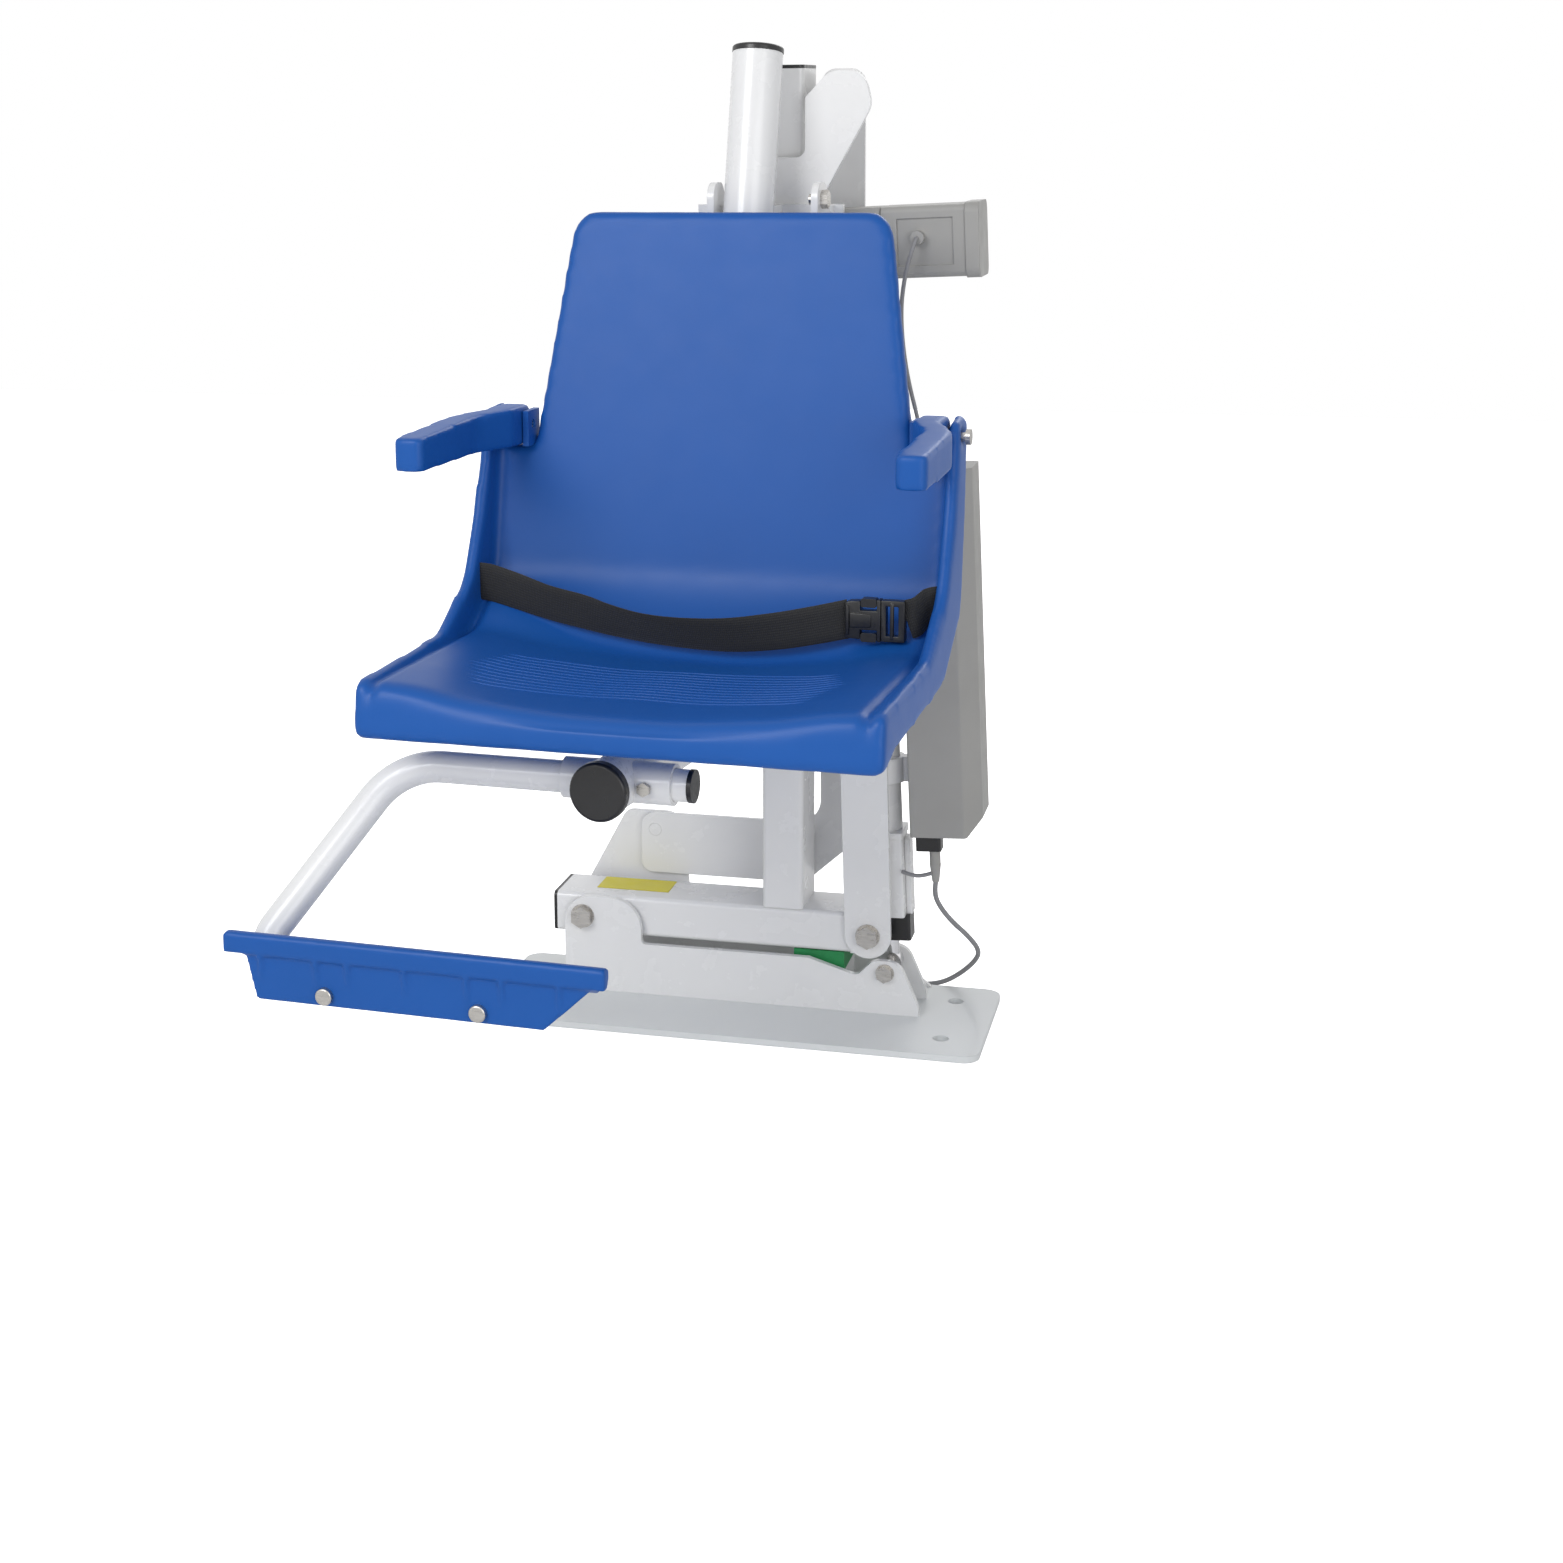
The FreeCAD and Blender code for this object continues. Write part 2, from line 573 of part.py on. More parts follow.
def make_carrier():
    lobe_r = 30.0
    base_r = 22.0
    crank_drop = 62.0
    post_side = mast_top_x + post_width / 2 + 5
    crank = [(mast_top_x - base_r, mast_top_z - crank_drop, 8),
             (post_side, mast_top_z - crank_drop, 8),
             (crank_link_x + lobe_r + 9, crank_link_z - 9, 26),
             (crank_link_x + lobe_r, crank_link_z + lobe_r, 25),
             (crank_link_x - 10, crank_link_z + lobe_r, 24),
             (post_side, crank_link_z, 6), (post_side, mast_top_z + base_r - 2, 10),
             (mast_top_x - base_r, mast_top_z + base_r - 2, 20)]
    parts["seat_crank"] = prism_xz(crank, crank_y0, crank_y1)
    pin = y_rod(mast_top_x, mast_top_z, crank_y1, link_y1, crank_pin_r)
    parts["crank_pin"] = pin.fuse(y_rod(mast_top_x, mast_top_z, link_y0 - 0.6, link_y1,
                                        crank_pin_r + 6)).removeSplitter()
    pin = y_rod(crank_link_x, crank_link_z, crank_y1, link_y1 + 3, link_pin_r)
    parts["link_pin"] = pin.fuse(y_rod(crank_link_x, crank_link_z, crank_y1, link_y0 - 0.5,
                                       link_pin_r + 6)).removeSplitter()

    tube_line = seat_tube_points()
    tube = bent_tube(tube_line, [seat_tube_bend_r], seat_tube_r, seat_tube_wall)
    sleeve_hole = rod((seat_tube_end_x - 60, foot_pivot_y, seat_tube_low_z), X_AXIS, sleeve_r, 140)
    parts["seat_tube"] = place_seat(tube.cut(sleeve_hole))
    up = (tube_line[0] - tube_line[1]).normalize()
    cap = Part.makeCylinder(seat_tube_r + 0.6, 7, tube_line[0], up)
    top_cap = cap.makeFillet(3, [cap.Edges[0]])
    ahead = (tube_line[2] - tube_line[1]).normalize()
    cap = Part.makeCylinder(seat_tube_r + 2.5, 12, tube_line[2], ahead)
    front_cap = cap.makeFillet(4, [cap.Edges[0]])
    parts["seat_tube_caps"] = place_seat(Part.makeCompound([top_cap, front_cap]))

    whole = place_seat(sweep(tube_line, [seat_tube_bend_r], seat_tube_r))
    # Two lugs that stand out beside the seat tube, and the bolt across them
    bolt_z = mast_top_z - 25
    plate_z0 = bolt_z - 40
    plate_z1 = bolt_z - 8
    drop = (seat_tube_top_z - bolt_z) / (seat_tube_top_z - seat_tube_low_z)
    tube_x = tube_line[1].x * drop
    tube_y = tube_line[1].y * drop
    lug = [(tube_y - 19, plate_z0, 4), (60, plate_z0, 0), (60, plate_z1, 0), (0, plate_z1, 12),
           (tube_y + 19, bolt_z + 19, 18), (tube_y - 19, bolt_z + 19, 18)]
    left_lug = tube_x - lug_left
    right_lug = tube_x + lug_right
    lugs = [prism_yz(lug, left_lug - lug_thick, left_lug),
            prism_yz(lug, right_lug, right_lug + lug_thick),
            box(tube_x - 24, tube_x + 24, tube_y, 60, plate_z0, plate_z1)]
    hanger = box(seat_x - 76, mast_top_x + 76, crank_y0 - 10, crank_y0, plate_z0, plate_z1)
    hanger = hanger.multiFuse([place_seat(lug) for lug in lugs])
    hanger = hanger.common(box(seat_x - 150, mast_top_x + 150, -200, crank_y0, 0, post_top_z))
    hanger = hanger.cut(whole).removeSplitter()
    bolt = rod((right_lug - 6, tube_y, bolt_z), X_AXIS, foot_bolt_r, lug_thick + 10)
    parts["seat_hanger"] = hanger.cut(place_seat(bolt))
    head = hexagon(0, 0, 0, foot_bolt_r * 3, foot_head_high)
    head.rotate(V(0, 0, 0), Z_AXIS, -90)
    head.translate(V(right_lug + lug_thick, tube_y, bolt_z))
    parts["hanger_bolt"] = place_seat(bolt.fuse(head).removeSplitter())


# Seat shell: a hollow-walled bucket with side wings and a deep front lip
def back_y(z):
    return -98.0 - (seat_back_top_z - z) * 0.186


def make_seat():
    low_back = seat_pan_z + 46
    inner = [(back_y(seat_back_top_z), seat_back_top_z, 0), (back_y(low_back), low_back, 0),
             (back_y(low_back) - 80, seat_pan_z, 0), (seat_front + 14, seat_pan_z - 4, 0)]
    outer_back = seat_wall
    profile = [(inner[0][0], inner[0][1], 8), (inner[1][0], inner[1][1], 60),
               (inner[2][0], inner[2][1], 60), (seat_front + 6, seat_pan_z, 20),
               (seat_front, seat_lip_low_z, 6), (seat_front + 16, seat_lip_low_z, 4),
               (seat_front + 26, seat_pan_z - seat_wall - 4, 12),
               (inner[2][0] + 10, seat_pan_z - seat_wall, 60),
               (inner[1][0] + outer_back + 6, low_back - 18, 60),
               (inner[0][0] + outer_back, inner[0][1], 8)]
    x0 = seat_mid - front_half
    x1 = seat_mid + front_half
    band = prism_yz(profile, x0, x1)
    wing_profile = [(back_y(ear_top_z) + outer_back, ear_top_z, 14),
                    (back_y(ear_top_z) - 28, ear_top_z, 20),
                    (back_y(shoulder_z) - 30, shoulder_z - 10, 20),
                    (back_y(low_back) - 24, low_back + 80, 90),
                    (back_y(low_back) - 60, low_back + 14, 60),
                    (back_y(low_back) - 140, seat_pan_z + 15, 70),
                    (seat_front + 8, seat_pan_z + 10, 14), (seat_front, seat_lip_low_z, 6),
                    (seat_front + 16, seat_lip_low_z, 4), (seat_front + 60, seat_lip_low_z + 12, 8),
                    (inner[2][0] + 10, seat_pan_z - seat_wall - 10, 60),
                    (inner[1][0] + outer_back + 6, low_back - 18, 60)]
    wings = []
    for start in (x0, x1 - wing_thick):
        wings.append(prism_yz(wing_profile, start, start + wing_thick))
    shell = band.multiFuse(wings)
    outline = [(seat_mid - back_half_top, seat_back_top_z + 1, 34),
               (seat_mid - shoulder_half, shoulder_z, 4),
               (x0 + wing_thick, shoulder_z, 4), (x0 + wing_thick, ear_top_z + 1, 0),
               (x0 + 2, ear_top_z + 1, 8), (x0 - 2, 560, 40), (x0 - 1, seat_lip_low_z - 1, 12),
               (x1 + 1, seat_lip_low_z - 1, 12), (x1 + 2, 560, 40), (x1 - 2, ear_top_z + 1, 8),
               (x1 - wing_thick, ear_top_z + 1, 0), (x1 - wing_thick, shoulder_z, 4),
               (seat_mid + shoulder_half, shoulder_z, 4),
               (seat_mid + back_half_top, seat_back_top_z + 1, 34)]
    shell = shell.common(prism_xz(outline, seat_front - 5, 0)).removeSplitter()
    for side in (-1, 1):
        edge = seat_mid + side * (front_half - wing_thick / 2)
        cut = box(edge - wing_thick, edge + wing_thick, belt_y - web_thick / 2, belt_y + 6,
                  belt_low_z - 4, belt_low_z + web_width + 4)
        shell = shell.cut(cut)
        x_pin, y_pin, z_pin = armrest_axis(side)
        shell = shell.cut(rod((seat_mid + side * 250 - 60, y_pin, z_pin), X_AXIS, arm_pin_r, 120))
    parts["seat_shell"] = place_seat(shell)


# Saddles that seat the shell on the bent tube
def make_saddles():
    tube_line = seat_tube_points()
    whole = sweep(tube_line, [seat_tube_bend_r], seat_tube_r)
    under = seat_pan_z - seat_wall - 4.3
    blocks = []
    for y0 in (seat_tube_end_y + 92, seat_tube_end_y + 182):
        block = box(seat_mid - 70, seat_mid + 30, y0, y0 + 30, seat_tube_low_z + 12, under)
        blocks.append(block.cut(whole))
    parts["pan_saddles"] = place_seat(Part.makeCompound(blocks))
    z0 = 700.0
    block = box(seat_mid - 80, seat_mid + 100, back_y(z0) + seat_wall + 4,
                back_y(z0) + seat_wall + 28, z0, z0 + 40)
    parts["back_saddle"] = place_seat(block.cut(whole)).cut(parts["seat_shell"])


# Armrests that swing up on a pin between the back's edge and the wing's ear
armrest_pins = []
armrest_brackets = []


def armrest_axis(side):
    return seat_mid + side * (front_half - wing_thick / 2), back_y(ear_top_z) - 8, shoulder_z + 24


def side_x(side, offset):
    return seat_mid + side * offset


def make_armrest(side, name):
    x_pin, y_pin, z_pin = armrest_axis(side)
    hub_in = shoulder_half + 8
    hub_out = front_half - wing_thick - 2
    low = shoulder_z + 2
    high = ear_top_z + 2
    front_y = y_pin - arm_reach
    outline = [(hub_in, y_pin + 20, 6), (hub_out, y_pin + 20, 6), (hub_out, y_pin - 44, 30),
               (arm_out, y_pin - 96, 60), (arm_out + 3, front_y, 9), (arm_out - arm_wide, front_y, 9),
               (arm_out - arm_wide - 2, y_pin - 96, 60), (hub_in, y_pin - 42, 20)]
    points = [(side_x(side, x), y, r) for x, y, r in outline]
    if side > 0:
        points = points[::-1]
    arm = prism_xy(points, low, high)
    ends = sorted((side_x(side, hub_in - 10), side_x(side, arm_out + 15)))
    taper = prism_yz([(front_y - 5, high + 5, 0), (y_pin - 30, high + 5, 0), (y_pin - 30, high, 0),
                      (front_y - 5, high - 9, 0)], ends[0], ends[1])
    arm = arm.cut(taper)
    corner = box(ends[0], ends[1], y_pin, y_pin + 30, low - 1, high + 1)
    round_heel = rod((ends[0], y_pin, z_pin), X_AXIS, high - z_pin, ends[1] - ends[0])
    arm = arm.cut(corner.cut(round_heel))
    arm = arm.cut(rod((ends[0], y_pin, z_pin), X_AXIS, arm_pin_r + pin_clear, ends[1] - ends[0]))
    parts["armrest_" + name] = place_seat(arm)

    pin_ends = sorted((side_x(side, shoulder_half + 2), side_x(side, front_half + 1.5)))
    pin = rod((pin_ends[0], y_pin, z_pin), X_AXIS, arm_pin_r, pin_ends[1] - pin_ends[0])
    head_ends = sorted((side_x(side, front_half + 1.5), side_x(side, front_half + 6.5)))
    head = rod((head_ends[0], y_pin, z_pin), X_AXIS, arm_pin_r * 1.7, head_ends[1] - head_ends[0])
    armrest_pins.append(place_seat(pin.fuse(head).removeSplitter()))
    hold = sorted((side_x(side, shoulder_half), side_x(side, shoulder_half + 7)))
    bracket = box(hold[0], hold[1], y_pin - 16, y_pin + 20, shoulder_z, ear_top_z - 4)
    bracket = bracket.cut(rod((hold[0] - 1, y_pin, z_pin), X_AXIS, arm_pin_r, 10))
    back = box(hold[0] - 20, hold[1] + 20, y_pin - 40, y_pin + 60, shoulder_z - 5, shoulder_z)
    armrest_brackets.append(place_seat(bracket.cut(back)).cut(parts["seat_shell"]))


# Footrest: a bent tube that turns in a sleeve through the seat tube, and the tray bolted to it
def foot_points():
    return [V(seat_tube_end_x + 82, foot_pivot_y, seat_tube_low_z),
            V(seat_tube_end_x - 236, foot_pivot_y, seat_tube_low_z),
            V(tray_left, foot_run_y, foot_run_z), V(tray_right - 100, foot_run_y, foot_run_z)]


def make_footrest():
    sleeve_x0 = seat_tube_end_x - 52
    sleeve = rod((sleeve_x0, foot_pivot_y, seat_tube_low_z), X_AXIS, sleeve_r, 118)
    sleeve = sleeve.cut(rod((sleeve_x0 - 1, foot_pivot_y, seat_tube_low_z), X_AXIS,
                            foot_tube_r + sleeve_gap, 120))
    parts["footrest_sleeve"] = place_seat(sleeve)
    screw_x = sleeve_x0 + 92
    screw = rod((screw_x, foot_pivot_y - foot_tube_r - 0.8, seat_tube_low_z), V(0, -1, 0), 4, 9)
    screw = screw.cut(rod((screw_x - 20, foot_pivot_y, seat_tube_low_z), X_AXIS, sleeve_r, 40))
    head = hexagon(screw_x, foot_pivot_y - sleeve_r - 7, seat_tube_low_z, 13, 5.5)
    parts["footrest_screw"] = place_seat(screw.fuse(head).removeSplitter())

    line = foot_points()
    radii = [75.0, 42.0]
    parts["footrest_tube"] = place_seat(bent_tube(line, radii, foot_tube_r, foot_tube_wall))
    caps = []
    for x, step in ((line[0].x, 1), (line[3].x, 1)):
        base = line[0] if not caps else line[3]
        caps.append(Part.makeCylinder(foot_tube_r + 0.6, 5, base, V(step, 0, 0)))
    parts["footrest_caps"] = place_seat(Part.makeCompound(caps))

    leg = sweep(line, radii, foot_tube_r + 0.4)
    back = tray_front + tray_depth
    fall = tray_depth * tray_slope
    side = [(tray_front, tray_top_z, 5), (tray_front, tray_top_z - tray_lip, 3),
            (tray_front + 5, tray_top_z - tray_lip, 0), (tray_front + 5, tray_low_z, 3),
            (tray_front + 5 + tray_wall, tray_low_z, 2),
            (tray_front + 5 + tray_wall, tray_top_z - 12, 3),
            (back, tray_top_z - fall - tray_wall, 2), (back, tray_top_z - fall, 2),
            (tray_front + 10, tray_top_z, 5)]
    tray = prism_yz(side, tray_left, tray_right)
    flare = [(tray_left, tray_top_z + 1, 6), (tray_left, tray_top_z - tray_lip, 2),
             (tray_left + 22, tray_top_z - tray_lip, 4), (tray_left + 34, tray_low_z, 3),
             (tray_right - 66, tray_low_z, 3), (tray_right - 14, tray_top_z - tray_lip, 4),
             (tray_right, tray_top_z - tray_lip, 2), (tray_right, tray_top_z + 1, 6)]
    front = prism_xz(flare, tray_front - 1, tray_front + 12)
    plate = prism_xy([(tray_left, tray_front + 12, 0), (tray_right, tray_front + 12, 0),
                      (tray_right - 48, back + 1, 20), (tray_left + 12, back + 1, 20)],
                     tray_low_z - 30, tray_top_z + 1)
    tray = tray.common(front.fuse(plate))
    ribs = []
    for step in (40, 101, 136, 197, 263, 300, 360):
        x = tray_left + step
        ribs.append(prism_yz([(tray_front + 0.5, tray_top_z - tray_lip, 0),
                              (tray_front + 5, tray_top_z - tray_lip - 30, 0),
                              (tray_front + 5, tray_top_z - tray_lip, 0)], x - 2, x + 2))
    tray = tray.multiFuse(ribs).removeSplitter().cut(leg).cut(Part.makeCompound(caps))
    bolts = []
    for x in (tray_left + 110, tray_left + 275):
        hole = y_rod(x, foot_run_z, tray_front - 2, foot_run_y, 4)
        tray = tray.cut(hole)
        bolt = y_rod(x, foot_run_z, tray_front + 5, foot_run_y - foot_tube_r + 0.2, 4)
        bolt = bolt.cut(leg)
        head = y_rod(x, foot_run_z, tray_front - 1, tray_front + 5, 9)
        bolts.append(bolt.fuse(head.makeFillet(2, [head.Edges[2]])).removeSplitter())
    parts["footrest_tray"] = place_seat(tray)
    parts["footrest_bolts"] = place_seat(Part.makeCompound(bolts))


# Lap belt: two lengths of webbing and a side-release buckle with two squeeze prongs
def web_band(points, z0, high):
    """An upright strip of webbing that follows (x, y, radius) corners."""
    line = [V(x, y, z0) for x, y, r in points]
    radii = [r for x, y, r in points[1:-1]]
    path = path_wire(line, radii)
    first = (line[1] - line[0]).normalize()
    across = V(-first.y, first.x, 0) * (web_thick / 2)
    up = V(0, 0, high)
    corners = [line[0] - across, line[0] + across, line[0] + across + up, line[0] - across + up]
    ring = Part.makePolygon(corners + corners[:1])
    return path.makePipeShell([ring], True, False)


def make_belt():
    wall_in = front_half - wing_thick
    buckle_x0 = seat_mid + 168
    buckle_mid = seat_mid + 206
    buckle_x1 = seat_mid + 232
    buckle_y = belt_y - 28
    left = [(seat_mid - front_half + 5, belt_y, 0), (seat_mid - wall_in + 14, belt_y, 40),
            (seat_mid - 120, belt_y - 34, 120), (seat_mid + 20, belt_y - 52, 200),
            (seat_mid + 120, belt_y - 44, 120), (buckle_x0, buckle_y, 0)]
    left_web = web_band(left, belt_low_z - belt_sag, web_width + belt_sag)
    sag = [(left[0][0] - 1, belt_low_z, 0), (seat_mid - wall_in + 10, belt_low_z, 60),
           (seat_mid - 150, belt_low_z - belt_sag + 6, 300), (seat_mid - 20, belt_low_z - belt_sag, 400),
           (buckle_x0 + 1, belt_low_z - belt_lift, 0)]
    outline = sag + [(x, z + web_width, r) for x, z, r in sag[::-1]]
    left_web = left_web.common(prism_xz(outline, belt_y - 120, belt_y + 20))
    right = [(buckle_x1, buckle_y + 2, 0), (seat_mid + wall_in - 14, belt_y, 20),
             (seat_mid + front_half - 5, belt_y, 0)]
    right_web = web_band(right, belt_low_z - belt_lift, web_width + belt_lift)
    rise = [(buckle_x1 - 1, belt_low_z - belt_lift, 0), (buckle_x1 + 8, belt_low_z - belt_lift, 10),
            (seat_mid + wall_in - 4, belt_low_z, 10), (right[2][0] + 1, belt_low_z, 0)]
    outline = rise + [(x, z + web_width, r) for x, z, r in rise[::-1]]
    right_web = right_web.common(prism_xz(outline, belt_y - 120, belt_y + 20))
    z0 = belt_low_z - belt_lift - 2
    z1 = z0 + web_width + 4
    y0 = buckle_y - 7
    y1 = buckle_y + 7
    socket = prism_xz([(buckle_x0, z0 + 4, 3), (buckle_mid, z0, 3), (buckle_mid, z1, 3),
                       (buckle_x0, z1 - 4, 3)], y0, y1)
    prongs = {}
    for name, low in (("upper", z1 - 9), ("lower", z0)):
        window = box(buckle_x0 + 16, buckle_x0 + 34, y0 - 1, y1 + 1, low - 3.5, low + 12.5)
        socket = socket.cut(window)
        prongs[name] = prism_xz(rect_corners(buckle_x0 + 16.4, buckle_x0 + 33.6, low - 0.2,
                                             low + 9.2, 2.5), y0 + 1, y1 - 1)
    parts["buckle_socket"] = place_seat(socket.removeSplitter())
    parts["belt_left"] = place_seat(left_web.cut(socket))
    for name, shape in prongs.items():
        parts["buckle_prong_" + name] = place_seat(shape)
    tongue = prism_xz(rect_corners(buckle_mid, buckle_x1, z0, z1, 4), y0, y1)
    window = box(buckle_x1 - 14, buckle_x1 - 7, y0 - 1, y1 + 1, z0 + 6, z1 - 6)
    tongue = tongue.cut(window)
    parts["buckle_tongue"] = place_seat(tongue)
    parts["belt_right"] = place_seat(right_web.cut(tongue))


# Leads: the short one that the actuator holds, and the free one down to the deck
def tube_radii(points):
    radii = []
    for i in range(1, len(points) - 1):
        before = points[i] - points[i - 1]
        after = points[i + 1] - points[i]
        turn = before.getAngle(after)
        radii.append(0.45 * min(before.Length, after.Length) / math.tan(turn / 2))
    return radii


def make_leads():
    plug_u = control_u0 + 27
    plug_y = control_y0 + 16
    relief_low = control_low - 58
    relief = place_ram(rod((plug_u, plug_y, relief_low), Z_AXIS, 5, 24))
    start = place_ram(Part.Vertex(plug_u, plug_y, relief_low)).Point
    points = [start] + [V(x, y, z) for x, y, z in free_lead]
    radii = tube_radii(points)
    print("free lead radii", [round(r, 1) for r in radii])
    wire = path_wire(points, radii)
    print("free lead length", round(wire.Length, 1))
    parts["charge_lead"] = sweep(points, radii, free_lead_r).cut(parts["lead_plug"])
    end = points[-1]
    away = (points[-1] - points[-2]).normalize()
    away.z = 0
    plug = Part.makeCylinder(6.2, 34, end, away)
    parts["lead_connector"] = plug.makeFillet(2, [plug.Edges[0], plug.Edges[2]])

    entry_y = ram_y - shoe_half + 8
    held = [V(plug_u - 4.6, plug_y, relief_low + 10), V(plug_u - 15, plug_y + 1, relief_low + 6),
            V(plug_u - 27, entry_y - 3, relief_low + 8), V(shoe_u1, entry_y, relief_low + 12)]
    radii = tube_radii(held)
    print("held lead radii", [round(r, 1) for r in radii])
    lead = place_ram(sweep(held, radii, held_lead_r))
    lead = lead.cut(parts["lead_plug"]).cut(parts["ram_shoe"])
    radii = tube_radii(motor_lead)
    print("motor lead radii", [round(r, 1) for r in radii])
    upper = place_ram(sweep(motor_lead, radii, held_lead_r))
    upper = upper.cut(parts["motor_box"]).cut(parts["control_box"])
    parts["ram_lead"] = Part.makeCompound([upper, lead])


make_base()
make_mast()
make_link()
make_ram()
make_carrier()
make_seat()
make_saddles()
make_armrest(-1, "left")
make_armrest(1, "right")
parts["armrest_pins"] = Part.makeCompound(armrest_pins)
parts["armrest_brackets"] = Part.makeCompound(armrest_brackets)
make_footrest()
make_belt()
make_leads()

os.makedirs("parts", exist_ok=True)
for part_name, part_shape in parts.items():
    part_shape.exportStep("parts/" + part_name + ".step")
    print(part_name, len(part_shape.Solids), part_shape.isValid(), round(part_shape.Volume / 1000, 1))
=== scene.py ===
# Looks of the pool patient lift: materials, leads, moulded seat, belt, buckle, lights and camera.
# The scene is in metres in the frame's own axes. The seat's and the actuator's pieces are written
# in millimetres in their own turned axes and then placed.
import json
import math

import bpy
import bmesh
from mathutils import Matrix, Vector


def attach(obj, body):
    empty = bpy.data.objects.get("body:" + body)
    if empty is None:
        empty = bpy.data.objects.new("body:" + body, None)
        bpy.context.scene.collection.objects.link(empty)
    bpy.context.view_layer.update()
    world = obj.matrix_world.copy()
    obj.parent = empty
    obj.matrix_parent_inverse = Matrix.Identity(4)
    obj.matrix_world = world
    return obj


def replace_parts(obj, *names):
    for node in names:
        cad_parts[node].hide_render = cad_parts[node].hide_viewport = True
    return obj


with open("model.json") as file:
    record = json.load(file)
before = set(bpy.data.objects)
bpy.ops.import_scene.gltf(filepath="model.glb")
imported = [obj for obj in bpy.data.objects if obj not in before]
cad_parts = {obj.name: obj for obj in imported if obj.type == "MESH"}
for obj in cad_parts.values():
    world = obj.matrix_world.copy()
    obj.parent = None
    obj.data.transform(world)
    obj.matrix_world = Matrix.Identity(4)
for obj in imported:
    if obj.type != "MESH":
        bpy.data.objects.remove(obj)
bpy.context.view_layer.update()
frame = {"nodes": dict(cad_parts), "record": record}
nodes = frame["nodes"]

MM = 0.001

# The seat's own axes
SEAT_ORIGIN = Vector((33.0, -40.0, 0.0)) * MM
SEAT_YAW = math.radians(-3.0)
SEAT_PLACE = Matrix.Translation(SEAT_ORIGIN) @ Matrix.Rotation(SEAT_YAW, 4, "Z")

# The actuator's own axes: upright about its foot pivot, then leaned
RAM_FOOT = Vector((178.0, 0.0, 60.0)) * MM
RAM_LEAN = math.radians(2.5)
RAM_PLACE = Matrix.Translation(RAM_FOOT) @ Matrix.Rotation(-RAM_LEAN, 4, "Y")


# Node materials
def new_material(name):
    material = bpy.data.materials.new(name)
    material.use_nodes = True
    tree = material.node_tree
    shader = tree.nodes["Principled BSDF"]
    return material, tree, shader


def add_noise(tree, scale, detail=4.0, rough=0.55, stretch=None):
    coords = tree.nodes.new("ShaderNodeTexCoord")
    noise = tree.nodes.new("ShaderNodeTexNoise")
    noise.inputs["Scale"].default_value = scale
    noise.inputs["Detail"].default_value = detail
    noise.inputs["Roughness"].default_value = rough
    if stretch is None:
        tree.links.new(coords.outputs["Object"], noise.inputs["Vector"])
    else:
        mapping = tree.nodes.new("ShaderNodeMapping")
        mapping.inputs["Scale"].default_value = stretch
        tree.links.new(coords.outputs["Object"], mapping.inputs["Vector"])
        tree.links.new(mapping.outputs["Vector"], noise.inputs["Vector"])
    return noise


def ramp(tree, source, stops):
    """A colour ramp from (position, colour) stops; a number stands for a grey."""
    node = tree.nodes.new("ShaderNodeValToRGB")
    elements = node.color_ramp.elements
    while len(elements) < len(stops):
        elements.new(0.5)
    for element, (position, colour) in zip(elements, stops):
        if not hasattr(colour, "__len__"):
            colour = (colour, colour, colour)
        element.position = position
        element.color = (*colour, 1.0)
    tree.links.new(source, node.inputs["Fac"])
    return node


def add_bump(tree, shader, height, strength, distance, edge=0.0):
    bump = tree.nodes.new("ShaderNodeBump")
    bump.inputs["Strength"].default_value = strength
    bump.inputs["Distance"].default_value = distance
    tree.links.new(height, bump.inputs["Height"])
    if edge:
        rounding = tree.nodes.new("ShaderNodeBevel")
        rounding.samples = 4
        rounding.inputs["Radius"].default_value = edge * MM
        tree.links.new(rounding.outputs["Normal"], bump.inputs["Normal"])
    tree.links.new(bump.outputs["Normal"], shader.inputs["Normal"])


def mottle(colour, spread):
    low = tuple(max(0.0, c * (1 - spread)) for c in colour)
    high = tuple(min(1.0, c * (1 + spread)) for c in colour)
    return low, high


def surface(name, colour, rough, spread=0.05, scale=9.0, bump_scale=420.0, bump=0.12,
            bump_depth=0.0004, rough_spread=0.08, coat=0.0, edge=0.0, specular=0.5):
    """A finish with soft colour variation, a fine grain and uneven gloss."""
    material, tree, shader = new_material(name)
    low, high = mottle(colour, spread)
    broad = add_noise(tree, scale)
    tint = ramp(tree, broad.outputs["Fac"], [(0.3, low), (0.7, high)])
    tree.links.new(tint.outputs["Color"], shader.inputs["Base Color"])
    wear = add_noise(tree, scale * 6.0, 6.0)
    gloss = ramp(tree, wear.outputs["Fac"], [(0.3, max(0.02, rough - rough_spread)),
                                             (0.7, rough + rough_spread)])
    tree.links.new(gloss.outputs["Color"], shader.inputs["Roughness"])
    shader.inputs["Specular IOR Level"].default_value = specular
    if coat:
        shader.inputs["Coat Weight"].default_value = coat
        shader.inputs["Coat Roughness"].default_value = 0.08
    grain = add_noise(tree, bump_scale, 3.0)
    add_bump(tree, shader, grain.outputs["Fac"], bump, bump_depth, edge)
    return material


